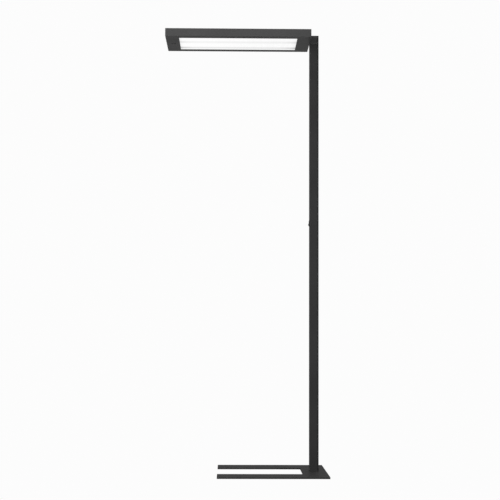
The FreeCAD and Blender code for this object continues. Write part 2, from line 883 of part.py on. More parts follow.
# ---------------------------------------------------------------- every piece

pieces = {
    "base_plate": make_base_plate,
    "rubber_pads": make_rubber_pads,
    "centre_pad": make_centre_pad,
    "base_screws": make_base_screws,
    "foot_block": make_foot_block,
    "foot_block_screws": lambda: wall_screws(foot_screw_level()),
    "cable_bush": make_cable_bush,
    "post_tube": make_post_tube,
    "channel_strip": make_channel_strip,
    "post_cap": make_post_cap,
    "corner_block": make_corner_block,
    "spigot_screws": lambda: wall_screws(spigot_screw_level()),
    "joint_screws": make_joint_screws,
    "switch_housing": make_switch_housing,
    "rocker": make_rocker,
    "rocker_pin": make_rocker_pin,
    "switch_blades": make_switch_blades,
    "head_lead": make_head_lead,
    "head_housing": make_head_housing,
    "head_bracket": make_head_bracket,
    "head_lid": make_head_lid,
    "lid_pillars": make_lid_pillars,
    "lid_screws": make_lid_screws,
    "lower_panel": make_lower_panel,
    "lower_reflector": make_lower_reflector,
    "board_carrier": make_board_carrier,
    "lower_light_boards": make_lower_boards,
    "upper_light_boards": make_upper_boards,
    "upper_reflector": make_upper_reflector,
    "upper_panel": make_upper_panel,
    "light_driver": make_driver,
    "driver_studs": make_driver_studs,
    "driver_nuts": make_driver_nuts,
    "sensor_bezel": make_sensor_bezel,
    "sensor_lens": make_sensor_lens,
    "sensor_board": make_sensor_board,
    "sensor_can": make_sensor_can,
}

os.makedirs("parts", exist_ok=True)
for node, make in pieces.items():
    shape = make()
    shape.exportStep("parts/" + node + ".step")
    print(node, len(shape.Solids), round(shape.Volume, 1), shape.isValid())
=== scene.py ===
import math

import bmesh
import bpy
from mathutils import Matrix, Vector


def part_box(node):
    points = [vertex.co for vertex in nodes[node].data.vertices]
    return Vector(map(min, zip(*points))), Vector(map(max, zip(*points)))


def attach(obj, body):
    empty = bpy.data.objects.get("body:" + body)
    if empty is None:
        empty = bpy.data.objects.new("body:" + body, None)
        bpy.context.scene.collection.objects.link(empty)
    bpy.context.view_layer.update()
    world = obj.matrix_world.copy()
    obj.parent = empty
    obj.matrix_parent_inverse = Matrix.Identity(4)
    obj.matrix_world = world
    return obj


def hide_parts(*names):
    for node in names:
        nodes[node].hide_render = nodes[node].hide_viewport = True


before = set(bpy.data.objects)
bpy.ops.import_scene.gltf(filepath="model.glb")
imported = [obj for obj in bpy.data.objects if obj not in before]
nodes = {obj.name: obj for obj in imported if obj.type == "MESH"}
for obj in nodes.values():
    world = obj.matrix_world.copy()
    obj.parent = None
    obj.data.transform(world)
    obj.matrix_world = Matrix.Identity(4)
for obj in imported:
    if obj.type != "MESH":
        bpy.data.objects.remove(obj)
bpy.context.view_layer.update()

scene = bpy.context.scene
mm = 0.001
print("frame loaded:", len(nodes), "nodes")


def addNode(tree, kind, **settings):
    node = tree.nodes.new(kind)
    for name, value in settings.items():
        setattr(node, name, value)
    return node


def feed(tree, socket, value):
    if isinstance(value, bpy.types.NodeSocket):
        tree.links.new(value, socket)
    elif value is not None:
        socket.default_value = value


def calc(tree, operation, first, second=None, third=None, clamp=False):
    node = addNode(tree, "ShaderNodeMath", operation=operation, use_clamp=clamp)
    for socket, value in zip(node.inputs, (first, second, third)):
        feed(tree, socket, value)
    return node.outputs[0]


def mixValue(tree, factor, low, high):
    node = addNode(tree, "ShaderNodeMix", data_type="FLOAT")
    feed(tree, node.inputs[0], factor)
    feed(tree, node.inputs[2], low)
    feed(tree, node.inputs[3], high)
    return node.outputs[0]


def mixColour(tree, factor, low, high):
    node = addNode(tree, "ShaderNodeMix", data_type="RGBA")
    feed(tree, node.inputs[0], factor)
    feed(tree, node.inputs[6], low)
    feed(tree, node.inputs[7], high)
    return node.outputs[2]


def ramp(tree, value, low, high, toLow=0.0, toHigh=1.0):    # a smooth step, held at both ends
    node = addNode(tree, "ShaderNodeMapRange", clamp=True, interpolation_type="SMOOTHSTEP")
    for socket, given in zip(node.inputs, (value, low, high, toLow, toHigh)):
        feed(tree, socket, given)
    return node.outputs[0]


def noise(tree, vector, scale, detail=2.0, roughness=0.5):
    node = addNode(tree, "ShaderNodeTexNoise")
    feed(tree, node.inputs["Vector"], vector)
    feed(tree, node.inputs["Scale"], scale)
    feed(tree, node.inputs["Detail"], detail)
    feed(tree, node.inputs["Roughness"], roughness)
    return node.outputs["Fac"]


def stretched(tree, vector, scale):
    node = addNode(tree, "ShaderNodeMapping")
    feed(tree, node.inputs["Vector"], vector)
    node.inputs["Scale"].default_value = scale
    return node.outputs[0]


def grey(value):
    return (value, value, value, 1.0)


def newGroup(name, inputs, outputs):
    tree = bpy.data.node_groups.new(name, "ShaderNodeTree")
    for label, kind, value in inputs:
        socket = tree.interface.new_socket(name=label, in_out="INPUT", socket_type="NodeSocket" + kind)
        if value is not None:
            socket.default_value = value
    for label, kind in outputs:
        tree.interface.new_socket(name=label, in_out="OUTPUT", socket_type="NodeSocket" + kind)
    return tree, addNode(tree, "NodeGroupInput").outputs, addNode(tree, "NodeGroupOutput").inputs


def useGroup(tree, group, **values):
    node = addNode(tree, "ShaderNodeGroup", node_tree=group)
    for name, value in values.items():
        feed(tree, node.inputs[name], value)
    return node.outputs


def buildEdgeWear():
    tree, given, out = newGroup("edgeWear", [
        ("Place", "Vector", None), ("Radius", "Float", 0.001), ("Gain", "Float", 4.0),
        ("Patch", "Float", 60.0)], [("Mask", "Float")])
    soft = addNode(tree, "ShaderNodeBevel", samples=4)
    feed(tree, soft.inputs["Radius"], given["Radius"])
    flat = addNode(tree, "ShaderNodeNewGeometry")
    facing = addNode(tree, "ShaderNodeVectorMath", operation="DOT_PRODUCT")
    feed(tree, facing.inputs[0], soft.outputs[0])
    feed(tree, facing.inputs[1], flat.outputs["Normal"])
    turn = calc(tree, "SUBTRACT", 1.0, facing.outputs["Value"])
    edge = calc(tree, "MULTIPLY", turn, given["Gain"], clamp=True)
    patches = ramp(tree, noise(tree, given["Place"], given["Patch"], 4.0, 0.6), 0.42, 0.68)
    feed(tree, out["Mask"], calc(tree, "MULTIPLY", edge, patches))
    return tree


def buildCoatGrain():
    tree, given, out = newGroup("coatGrain", [
        ("Place", "Vector", None), ("Scale", "Float", 900.0)],
        [("Height", "Float"), ("Speck", "Float")])
    coarse = noise(tree, given["Place"], given["Scale"], 3.0, 0.55)
    fineScale = calc(tree, "MULTIPLY", given["Scale"], 3.1)
    fine = noise(tree, given["Place"], fineScale, 2.0, 0.5)
    feed(tree, out["Height"], mixValue(tree, 0.35, coarse, fine))
    feed(tree, out["Speck"], ramp(tree, fine, 0.60, 0.74))
    return tree


def buildSoftPatches():
    tree, given, out = newGroup("softPatches", [
        ("Place", "Vector", None), ("Scale", "Float", 6.0)], [("Value", "Float")])
    broad = noise(tree, given["Place"], given["Scale"], 3.0, 0.5)
    feed(tree, out["Value"], ramp(tree, broad, 0.32, 0.68))
    return tree


def buildSettledDust():
    tree, given, out = newGroup("settledDust", [
        ("Place", "Vector", None), ("Amount", "Float", 0.1)], [("Mask", "Float")])
    face = addNode(tree, "ShaderNodeNewGeometry")
    parts = addNode(tree, "ShaderNodeSeparateXYZ")
    feed(tree, parts.inputs[0], face.outputs["Normal"])
    upward = ramp(tree, parts.outputs["Z"], 0.6, 0.98)
    drift = ramp(tree, noise(tree, given["Place"], 14.0, 5.0, 0.65), 0.35, 0.75)
    feed(tree, out["Mask"], calc(tree, "MULTIPLY", calc(tree, "MULTIPLY", upward, drift),
                                 given["Amount"]))
    return tree


def buildFineScratches():
    tree, given, out = newGroup("fineScratches", [
        ("Place", "Vector", None), ("Density", "Float", 0.5)], [("Mask", "Float")])
    marks = None
    for angle, scale in ((0.4, (40.0, 900.0, 60.0)), (1.9, (60.0, 700.0, 45.0))):
        turn = addNode(tree, "ShaderNodeMapping")
        feed(tree, turn.inputs["Vector"], given["Place"])
        turn.inputs["Rotation"].default_value = (0.3, 0.2, angle)
        turn.inputs["Scale"].default_value = scale
        line = ramp(tree, noise(tree, turn.outputs[0], 1.0, 2.0, 0.4), 0.66, 0.72)
        marks = line if marks is None else calc(tree, "MAXIMUM", marks, line)
    feed(tree, out["Mask"], calc(tree, "MULTIPLY", marks, given["Density"]))
    return tree


edgeWear = buildEdgeWear()
coatGrain = buildCoatGrain()
softPatches = buildSoftPatches()
settledDust = buildSettledDust()
fineScratches = buildFineScratches()
print("shader groups ready")


def newFinish(name):
    material = bpy.data.materials.new(name)
    material.use_nodes = True
    tree = material.node_tree
    tree.nodes.clear()
    output = addNode(tree, "ShaderNodeOutputMaterial")
    shader = addNode(tree, "ShaderNodeBsdfPrincipled")
    tree.links.new(shader.outputs[0], output.inputs["Surface"])
    place = addNode(tree, "ShaderNodeTexCoord").outputs["Object"]
    return material, tree, shader, place


def addBump(tree, shader, height, strength, distance):
    bump = addNode(tree, "ShaderNodeBump")
    bump.inputs["Strength"].default_value = strength
    bump.inputs["Distance"].default_value = distance
    feed(tree, bump.inputs["Height"], height)
    feed(tree, shader.inputs["Normal"], bump.outputs[0])


coatDetail = {"speckBlend": 0.35, "smoother": 0.04, "rougher": 0.05, "rubbed": 0.12,
              "dustTint": (0.22, 0.21, 0.20, 1.0), "dustRoughness": 0.9, "grainDepth": 0.0004}


def powderCoat(name, look):    # grain, soft patches, rubbed edges, a little dust on top
    material, tree, shader, place = newFinish(name)
    grain = useGroup(tree, coatGrain, Place=place, Scale=look["grain"])
    patches = useGroup(tree, softPatches, Place=place, Scale=look["patchScale"])["Value"]
    wear = useGroup(tree, edgeWear, Place=place, Radius=look["wearRadius"], Gain=look["wearGain"],
                    Patch=look["wearPatch"])["Mask"]
    dust = useGroup(tree, settledDust, Place=place, Amount=look["dust"])["Mask"]
    dark, light = look["colour"] * (1 - look["patchDepth"]), look["colour"] * (1 + look["patchDepth"])
    body = mixColour(tree, patches, grey(dark), grey(light))
    specks = calc(tree, "MULTIPLY", grain["Speck"], coatDetail["speckBlend"])
    body = mixColour(tree, specks, body, grey(look["speck"]))
    body = mixColour(tree, calc(tree, "MULTIPLY", wear, look["wear"]), body, grey(look["edge"]))
    body = mixColour(tree, dust, body, coatDetail["dustTint"])
    feed(tree, shader.inputs["Base Color"], body)
    rough = mixValue(tree, patches, look["roughness"] - coatDetail["smoother"],
                     look["roughness"] + coatDetail["rougher"])
    rough = mixValue(tree, wear, rough, look["roughness"] - coatDetail["rubbed"])
    rough = mixValue(tree, dust, rough, coatDetail["dustRoughness"])
    feed(tree, shader.inputs["Roughness"], rough)
    shader.inputs["Specular IOR Level"].default_value = look["shine"]
    addBump(tree, shader, grain["Height"], look["bump"], coatDetail["grainDepth"])
    return material


metalWear = {"Radius": 0.0006, "Gain": 5.0, "Patch": 90.0}
mouldedWear = {"Radius": 0.0005, "Gain": 4.0, "Patch": 120.0}


def metal(name, look):    # drawn lines, soft blotches and brighter edges
    material, tree, shader, place = newFinish(name)
    lines = noise(tree, stretched(tree, place, look["lines"]), 1.0, 3.0, 0.6)
    patches = useGroup(tree, softPatches, Place=place, Scale=look["patchScale"])["Value"]
    wear = useGroup(tree, edgeWear, Place=place, **metalWear)["Mask"]
    body = mixColour(tree, patches, look["dark"], look["light"])
    body = mixColour(tree, calc(tree, "MULTIPLY", wear, look["wear"]), body, look["edge"])
    feed(tree, shader.inputs["Base Color"], body)
    shader.inputs["Metallic"].default_value = 1.0
    rough = ramp(tree, lines, 0.3, 0.7, look["roughness"] - 0.07, look["roughness"] + 0.09)
    feed(tree, shader.inputs["Roughness"], rough)
    addBump(tree, shader, lines, look["bump"], 0.0002)
    return material


def moulded(name, look):    # plastic or rubber with eroded grain and faint scratches
    material, tree, shader, place = newFinish(name)
    grain = useGroup(tree, coatGrain, Place=place, Scale=look["grain"])
    patches = useGroup(tree, softPatches, Place=place, Scale=look["patchScale"])["Value"]
    scratches = useGroup(tree, fineScratches, Place=place, Density=look["scratches"])["Mask"]
    wear = useGroup(tree, edgeWear, Place=place, **mouldedWear)["Mask"]
    body = mixColour(tree, patches, look["dark"], look["light"])
    body = mixColour(tree, calc(tree, "MULTIPLY", wear, look["wear"]), body, look["edge"])
    body = mixColour(tree, calc(tree, "MULTIPLY", scratches, 0.3), body, look["edge"])
    feed(tree, shader.inputs["Base Color"], body)
    rough = mixValue(tree, grain["Height"], look["roughness"] - 0.08, look["roughness"] + 0.10)
    feed(tree, shader.inputs["Roughness"], mixValue(tree, scratches, rough, look["roughness"] + 0.2))
    addBump(tree, shader, grain["Height"], look["bump"], 0.0003)
    return material


finishes = {}


def splitPlace(tree, place):
    parts = addNode(tree, "ShaderNodeSeparateXYZ")
    feed(tree, parts.inputs[0], place)
    return parts.outputs


# lengths in metres, angles in degrees
meshCare = {"tiny": 1e-7, "weld": 1e-6, "sliver": 2e-6, "level": 1e-5, "flat": 0.6, "sharp": 28.0,
            "crease": 50.0}


def evenNormals(mesh):    # the larger faces lead, so flat faces stay flat
    mesh.polygons.foreach_set("use_smooth", [True] * len(mesh.polygons))
    around = [[] for vertex in mesh.vertices]
    for face in mesh.polygons:
        for index in face.vertices:
            around[index].append((face.normal.copy(), face.area))
    least = math.cos(math.radians(meshCare["crease"]))
    normals = []
    for face in mesh.polygons:
        for index in face.vertices:
            total = Vector()
            for normal, area in around[index]:
                if face.normal.dot(normal) > least:
                    total += normal * area
            normals.append(total.normalized())
    mesh.normals_split_custom_set(normals)


def addPiece(name, mesh, material, body="lamp", stands=()):
    piece = bpy.data.objects.new(name, mesh)
    scene.collection.objects.link(piece)
    mesh.materials.clear()
    mesh.materials.append(material)
    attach(piece, body)
    if stands:
        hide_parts(*stands)
    return piece


def weldedMesh(nodeName, label):
    mesh = nodes[nodeName].data.copy()
    mesh.name = label
    work = bmesh.new()
    work.from_mesh(mesh)
    bmesh.ops.remove_doubles(work, verts=work.verts, dist=meshCare["weld"])
    bmesh.ops.dissolve_limit(work, angle_limit=math.radians(meshCare["flat"]), verts=work.verts,
                             edges=work.edges)
    work.to_mesh(mesh)
    work.free()
    if "custom_normal" in mesh.attributes:
        mesh.attributes.remove(mesh.attributes["custom_normal"])
    return mesh


def bevelEdges(work, width, steps, chosen):
    edges = [edge for edge in work.edges if len(edge.link_faces) == 2
             and edge.calc_face_angle(0.0) > math.radians(meshCare["sharp"]) and chosen(edge)]
    bmesh.ops.bevel(work, geom=edges, offset=width, offset_type="OFFSET", segments=steps,
                    profile=0.5, affect="EDGES", clamp_overlap=True)


def softenEdges(mesh, width, steps=2, seam=None):    # a seam's outer edges are rounded more
    work = bmesh.new()
    work.from_mesh(mesh)
    if seam:
        level, seamWidth, outside = seam
        bevelEdges(work, seamWidth, steps, lambda edge: all(
            abs(vertex.co.z - level) < meshCare["level"] and outside(vertex.co)
            for vertex in edge.verts))
        bevelEdges(work, width, steps, lambda edge: all(
            abs(vertex.co.z - level) > 1.5 * seamWidth for vertex in edge.verts))
    else:
        bevelEdges(work, width, steps, lambda edge: True)
    bmesh.ops.remove_doubles(work, verts=work.verts, dist=meshCare["sliver"])
    bmesh.ops.dissolve_degenerate(work, dist=meshCare["sliver"], edges=work.edges)
    work.to_mesh(mesh)
    work.free()
    evenNormals(mesh)
    return mesh


def dress(nodeName, pieceName, material, width, steps=2, body="lamp", seam=None):
    mesh = softenEdges(weldedMesh(nodeName, pieceName), width, steps, seam)
    return addPiece(pieceName, mesh, material, body, (nodeName,))


def paint(material, *names):
    for name in names:
        piece = nodes[name]
        if not len(piece.material_slots):
            piece.data.materials.append(material)
        for slot in piece.material_slots:
            slot.material = material


def lathe(profile, centre, axis, sides=64):    # (radius, advance) points taken round an axis
    turn = Vector((0, 0, 1)).rotation_difference(Vector(axis)).to_matrix()
    work = bmesh.new()
    rings = []
    for radius, advance in profile:
        if radius < meshCare["tiny"]:    # a closed pole
            rings.append([work.verts.new(Vector(centre) + turn @ Vector((0, 0, advance)))] * sides)
            continue
        rings.append([work.verts.new(Vector(centre) + turn @ Vector((
            radius * math.cos(2 * math.pi * i / sides), radius * math.sin(2 * math.pi * i / sides),
            advance))) for i in range(sides)])
    for low, high in zip(rings, rings[1:]):
        for i in range(sides):
            corners = []
            for corner in (low[i - 1], low[i], high[i], high[i - 1]):
                if corner not in corners:
                    corners.append(corner)
            if len(corners) > 2:
                work.faces.new(corners)
    bmesh.ops.remove_doubles(work, verts=work.verts, dist=meshCare["tiny"])
    bmesh.ops.recalc_face_normals(work, faces=work.faces)
    mesh = bpy.data.meshes.new("turned")
    work.to_mesh(mesh)
    work.free()
    evenNormals(mesh)
    return mesh


baseLook = {"colour": 0.020, "patchDepth": 0.07, "patchScale": 5.0, "grain": 800.0, "speck": 0.055,
            "wear": 0.5, "wearRadius": 0.0012, "wearGain": 3.0, "wearPatch": 45.0, "edge": 0.12,
            "dust": 0.06, "roughness": 0.46, "shine": 0.42, "bump": 0.45, "edgeRound": 0.4}
finishes["coated_steel"] = powderCoat("satinCoatOnSteel", baseLook)
dress("base_plate", "basePlateCoated", finishes["coated_steel"],
      baseLook["edgeRound"] * mm, 3)

postLook = {"colour": 0.0175, "patchDepth": 0.06, "patchScale": 4.0, "grain": 1000.0, "speck": 0.045,
            "wear": 0.45, "wearRadius": 0.0010, "wearGain": 3.0, "wearPatch": 55.0, "edge": 0.11,
            "dust": 0.04, "roughness": 0.44, "shine": 0.40, "bump": 0.40, "edgeRound": 0.35,
            "seamRound": 0.8}
finishes["coated_aluminium"] = powderCoat("satinCoatOnAluminium", postLook)
tubeLow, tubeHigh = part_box("post_tube")
skinDepth = 2 * mm


def onPostSkin(spot):    # near the post's front, back or left face
    return abs(spot.y) > tubeHigh.y - skinDepth or spot.x < tubeLow.x + skinDepth


postSeam = (tubeHigh.z, postLook["seamRound"] * mm, onPostSkin)
# the corner block's coat is lighter than the post's own coat: painted light that lifts the shade the head
# casts on the top of the post
castLookPaintedLight = {**postLook, "colour": 0.050, "grain": 700.0, "bump": 0.3}
castCoatPaintedLight = powderCoat("satinCoatOnCastingPaintedLight", castLookPaintedLight)
# the channel strip's coat is darker than the post's own coat: painted shade for its rounded edge turning
# away from the light
stripLookPaintedShade = {**postLook, "colour": 0.009, "shine": 0.25}
stripCoatPaintedShade = powderCoat("satinCoatOnStripPaintedShade", stripLookPaintedShade)
for nodeName, pieceName, coat, seam in (
        ("post_tube", "postTubeCoated", finishes["coated_aluminium"], postSeam),
        ("corner_block", "cornerBlockCoated", castCoatPaintedLight, postSeam),
        ("channel_strip", "channelStripCoated", stripCoatPaintedShade, None),
        ("post_cap", "postCapCoated", finishes["coated_aluminium"], None)):
    dress(nodeName, pieceName, coat, postLook["edgeRound"] * mm, seam=seam)

headLook = {"colour": 0.050, "patchDepth": 0.05, "patchScale": 4.0, "grain": 900.0, "speck": 0.08,
            "wear": 0.45, "wearRadius": 0.0010, "wearGain": 3.0, "wearPatch": 50.0, "edge": 0.15,
            "dust": 0.06, "roughness": 0.45, "shine": 0.45, "bump": 0.45, "edgeRound": 0.3}
finishes["coated_sheet"] = powderCoat("satinCoatOnSheet", headLook)
dress("head_housing", "headTrayCoated", finishes["coated_sheet"],
      headLook["edgeRound"] * mm)
dress("head_lid", "headLidCoated", finishes["coated_sheet"],
      headLook["edgeRound"] * mm)
print("coated pieces ready")

rubberLook = {"dark": grey(0.012), "light": grey(0.020), "edge": grey(0.05), "wear": 0.4,
              "grain": 1400.0, "patchScale": 20.0, "scratches": 0.1, "roughness": 0.78, "bump": 0.35}
finishes["rubber"] = moulded("blackRubber", rubberLook)
zincLook = {"dark": (0.42, 0.44, 0.46, 1), "light": (0.60, 0.61, 0.62, 1), "edge": (0.75, 0.75, 0.75, 1),
            "wear": 0.5, "lines": (500.0, 500.0, 60.0), "patchScale": 80.0, "roughness": 0.36,
            "bump": 0.15}
finishes["zinc_steel"] = metal("zincPlatedSteel", zincLook)
aluminiumLook = {"dark": (0.62, 0.63, 0.64, 1), "light": (0.74, 0.75, 0.76, 1),
                 "edge": (0.85, 0.85, 0.86, 1), "wear": 0.4, "lines": (40.0, 900.0, 900.0),
                 "patchScale": 25.0, "roughness": 0.38, "bump": 0.2}
finishes["bare_aluminium"] = metal("bareAluminium", aluminiumLook)
blackScrewLook = {"dark": (0.020, 0.020, 0.022, 1), "light": (0.045, 0.045, 0.048, 1),
                  "edge": (0.25, 0.25, 0.26, 1), "wear": 0.6, "lines": (900.0, 900.0, 900.0),
                  "patchScale": 200.0, "roughness": 0.40, "bump": 0.2}
finishes["black_screw"] = metal("blackenedScrew", blackScrewLook)
brassLook = {"dark": (0.62, 0.46, 0.20, 1), "light": (0.78, 0.60, 0.30, 1), "edge": (0.9, 0.75, 0.45, 1),
             "wear": 0.5, "lines": (80.0, 900.0, 900.0), "patchScale": 120.0, "roughness": 0.33,
             "bump": 0.15}
finishes["brass"] = metal("brassBlade", brassLook)
blackPlasticLook = {"dark": grey(0.014), "light": grey(0.021), "edge": grey(0.06), "wear": 0.4,
                    "grain": 1600.0, "patchScale": 30.0, "scratches": 0.2, "roughness": 0.50,
                    "bump": 0.25}
finishes["black_plastic"] = moulded("blackPlastic", blackPlasticLook)
rockerLook = {"dark": grey(0.016), "light": grey(0.022), "edge": grey(0.07), "wear": 0.5,
              "grain": 500.0, "patchScale": 60.0, "scratches": 0.6, "roughness": 0.30, "bump": 0.06}
finishes["rocker_plastic"] = moulded("rockerPlastic", rockerLook)
leadLook = {"dark": grey(0.018), "light": grey(0.026), "edge": grey(0.05), "wear": 0.1,
            "grain": 900.0, "patchScale": 40.0, "scratches": 0.2, "roughness": 0.48, "bump": 0.15}
finishes["lead_sheath"] = moulded("leadSheath", leadLook)
caseLook = {"dark": grey(0.66), "light": grey(0.74), "edge": grey(0.82), "wear": 0.3,
            "grain": 900.0, "patchScale": 30.0, "scratches": 0.3, "roughness": 0.45, "bump": 0.2}
finishes["driver_case"] = moulded("driverCase", caseLook)
reflectorLook = {"dark": grey(0.80), "light": grey(0.86), "edge": grey(0.90), "wear": 0.2,
                 "grain": 700.0, "patchScale": 12.0, "scratches": 0.1, "roughness": 0.55, "bump": 0.15}
finishes["white_reflector"] = moulded("whiteReflector", reflectorLook)
ringLook = {"dark": grey(0.030), "light": grey(0.038), "edge": grey(0.08), "wear": 0.4,
            "grain": 1500.0, "patchScale": 40.0, "scratches": 0.2, "roughness": 0.38, "bump": 0.12}
finishes["sensor_ring"] = moulded("sensorRing", ringLook)

paint(finishes["zinc_steel"], "base_screws", "joint_screws", "rocker_pin", "head_bracket",
      "lid_pillars", "driver_studs", "driver_nuts")
paint(finishes["bare_aluminium"], "foot_block", "board_carrier")
paint(finishes["brass"], "switch_blades")
paint(finishes["lead_sheath"], "head_lead")
paint(finishes["black_plastic"], "sensor_can")
paint(finishes["white_reflector"], "lower_reflector", "upper_reflector")
paint(finishes["driver_case"], "light_driver")
print("plain finishes ready")

boardLook = {"dark": grey(0.78), "light": grey(0.86), "patchScale": 60.0, "roughness": 0.42,
             "chip": (0.80, 0.62, 0.18, 1), "chipRoughness": 0.25, "chipGap": 0.0012,
             "grain": 1500.0, "bump": 0.1}


def lightBoardFinish(look):
    material, tree, shader, place = newFinish("lightBoard")
    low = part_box("lower_light_boards")
    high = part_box("upper_light_boards")
    height = splitPlace(tree, place)["Z"]
    below = calc(tree, "LESS_THAN", height, low[0].z + look["chipGap"] / 2)
    above = calc(tree, "GREATER_THAN", height, high[1].z - look["chipGap"] / 2)
    chips = calc(tree, "MAXIMUM", below, above)
    patches = useGroup(tree, softPatches, Place=place, Scale=look["patchScale"])["Value"]
    mask = mixColour(tree, patches, look["dark"], look["light"])
    feed(tree, shader.inputs["Base Color"], mixColour(tree, chips, mask, look["chip"]))
    rough = mixValue(tree, chips, look["roughness"], look["chipRoughness"])
    feed(tree, shader.inputs["Roughness"], rough)
    grain = useGroup(tree, coatGrain, Place=place, Scale=look["grain"])
    addBump(tree, shader, grain["Height"], look["bump"], 0.0002)
    return material


finishes["light_board"] = lightBoardFinish(boardLook)
paint(finishes["light_board"], "lower_light_boards", "upper_light_boards", "sensor_board")

# each band is its middle, its reach and its depth
panelLook = {"glow": 0.90, "endFade": 0.12, "fadeLength": 0.022,
             "bands": ((-0.034, 0.036, 0.10), (0.078, 0.028, 0.20)), "endGain": 0.9,
             "endReach": 0.075, "ripple": 0.04, "rippleScale": (90.0, 4.0, 1.0),
             "rippleGrowth": (0.3, 2.0), "dark": grey(0.10), "light": grey(0.13), "patchScale": 10.0,
             "roughness": (0.22, 0.30), "shine": 0.25, "bareLine": 0.057, "bareHalfWidth": 0.0035,
             "fieldInset": 5.2, "prismPitch": 4.0, "prismFill": 0.96, "prismHeight": 0.45,
             "sunk": 0.02}


def glowGrey(tree, shader, light):
    tone = addNode(tree, "ShaderNodeCombineColor")
    for socket in tone.inputs:
        feed(tree, socket, light)
    feed(tree, shader.inputs["Emission Color"], tone.outputs[0])
    shader.inputs["Emission Strength"].default_value = 1.0


def prismFinish(look):    # lit from inside, with soft grey bands and dimmer ends
    material, tree, shader, place = newFinish("litPrismPanel")
    low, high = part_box("lower_panel")
    middle, half = (low.x + high.x) / 2, (high.x - low.x) / 2
    parts = splitPlace(tree, place)
    fromMiddle = calc(tree, "ABSOLUTE", calc(tree, "SUBTRACT", parts["X"], middle))
    toEnd = calc(tree, "SUBTRACT", half, fromMiddle)
    endFade = ramp(tree, toEnd, 0.0, look["fadeLength"], 1.0, 0.0)
    nearEnd = ramp(tree, toEnd, 0.0, look["endReach"], 1.0, 0.0)
    loss = 0.0
    for bandY, reach, depth in look["bands"]:    # deeper towards both ends
        away = calc(tree, "ABSOLUTE", calc(tree, "SUBTRACT", parts["Y"], bandY))
        band = ramp(tree, away, 0.0, reach, depth, 0.0)
        loss = calc(tree, "ADD", loss, band)
    loss = calc(tree, "MULTIPLY", loss, calc(tree, "MULTIPLY_ADD", nearEnd, look["endGain"], 1.0))
    ripples = noise(tree, stretched(tree, place, look["rippleScale"]), 1.0, 1.0)
    growth = ramp(tree, parts["X"], low.x, high.x, *look["rippleGrowth"])
    ripples = calc(tree, "MULTIPLY", ripples, growth)
    loss = calc(tree, "ADD", loss, calc(tree, "MULTIPLY", endFade, look["endFade"]))
    loss = calc(tree, "ADD", loss, calc(tree, "MULTIPLY", ripples, look["ripple"]))
    light = calc(tree, "SUBTRACT", look["glow"] + look["ripple"] / 2, loss)
    glowGrey(tree, shader, light)
    patches = useGroup(tree, softPatches, Place=place, Scale=look["patchScale"])["Value"]
    feed(tree, shader.inputs["Base Color"], mixColour(tree, patches, look["dark"], look["light"]))
    feed(tree, shader.inputs["Roughness"], mixValue(tree, patches, *look["roughness"]))
    shader.inputs["Specular IOR Level"].default_value = look["shine"]
    return material


finishes["prism_panel"] = prismFinish(panelLook)

opalLook = {"glow": 0.50, "bandGlow": 0.24, "bandY": 0.048, "bandWidth": 0.055,
            "dark": grey(0.13), "light": grey(0.16), "patchScale": 10.0, "roughness": (0.42, 0.52),
            "grain": 1200.0, "bump": 0.15, "edgeRound": 0.25}


def opalFinish(look):    # a soft brighter band over each row of lights
    material, tree, shader, place = newFinish("litOpalPanel")
    parts = splitPlace(tree, place)
    away = calc(tree, "ABSOLUTE", calc(tree, "SUBTRACT", calc(tree, "ABSOLUTE", parts["Y"]),
                                       look["bandY"]))
    band = ramp(tree, away, 0.0, look["bandWidth"], 1.0, 0.0)
    light = calc(tree, "ADD", look["glow"], calc(tree, "MULTIPLY", band, look["bandGlow"]))
    glowGrey(tree, shader, light)
    patches = useGroup(tree, softPatches, Place=place, Scale=look["patchScale"])["Value"]
    feed(tree, shader.inputs["Base Color"], mixColour(tree, patches, look["dark"], look["light"]))
    feed(tree, shader.inputs["Roughness"], mixValue(tree, patches, *look["roughness"]))
    grain = useGroup(tree, coatGrain, Place=place, Scale=look["grain"])
    addBump(tree, shader, grain["Height"], look["bump"], 0.0002)
    return material


finishes["opal_panel"] = opalFinish(opalLook)
dress("upper_panel", "opalPanel", finishes["opal_panel"], opalLook["edgeRound"] * mm)


def newGeometryTree(name, inputs):
    tree = bpy.data.node_groups.new(name, "GeometryNodeTree")
    tree.interface.new_socket(name="Geometry", in_out="INPUT", socket_type="NodeSocketGeometry")
    for label, kind, value in inputs:
        socket = tree.interface.new_socket(name=label, in_out="INPUT", socket_type="NodeSocket" + kind)
        if value is not None:
            socket.default_value = value
    tree.interface.new_socket(name="Geometry", in_out="OUTPUT", socket_type="NodeSocketGeometry")
    return tree, addNode(tree, "NodeGroupInput").outputs, addNode(tree, "NodeGroupOutput").inputs


def link(tree, source, target):
    tree.links.new(source, target)


def finishTree(tree, geometry, given, out):
    real = addNode(tree, "GeometryNodeRealizeInstances")
    link(tree, geometry, real.inputs[0])
    coat = addNode(tree, "GeometryNodeSetMaterial")
    link(tree, real.outputs[0], coat.inputs["Geometry"])
    link(tree, given["Material"], coat.inputs["Material"])
    link(tree, coat.outputs[0], out["Geometry"])


def grow(name, mesh, tree, values):    # the plain mesh that a tree makes of a mesh
    holder = bpy.data.objects.new(name, mesh)
    scene.collection.objects.link(holder)
    modifier = holder.modifiers.new(name, "NODES")
    modifier.node_group = tree
    for item in tree.interface.items_tree:
        if item.in_out == "INPUT" and item.name in values:
            modifier[item.identifier] = values[item.name]
    holder.update_tag()
    depsgraph = bpy.context.evaluated_depsgraph_get()
    grown = bpy.data.meshes.new_from_object(holder.evaluated_get(depsgraph), depsgraph=depsgraph)
    holder.modifiers.clear()
    bpy.data.objects.remove(holder)
    grown.name = name
    return grown


def pointMesh(points):
    mesh = bpy.data.meshes.new("places")
    mesh.from_pydata([tuple(point) for point in points], [], [])
    return mesh


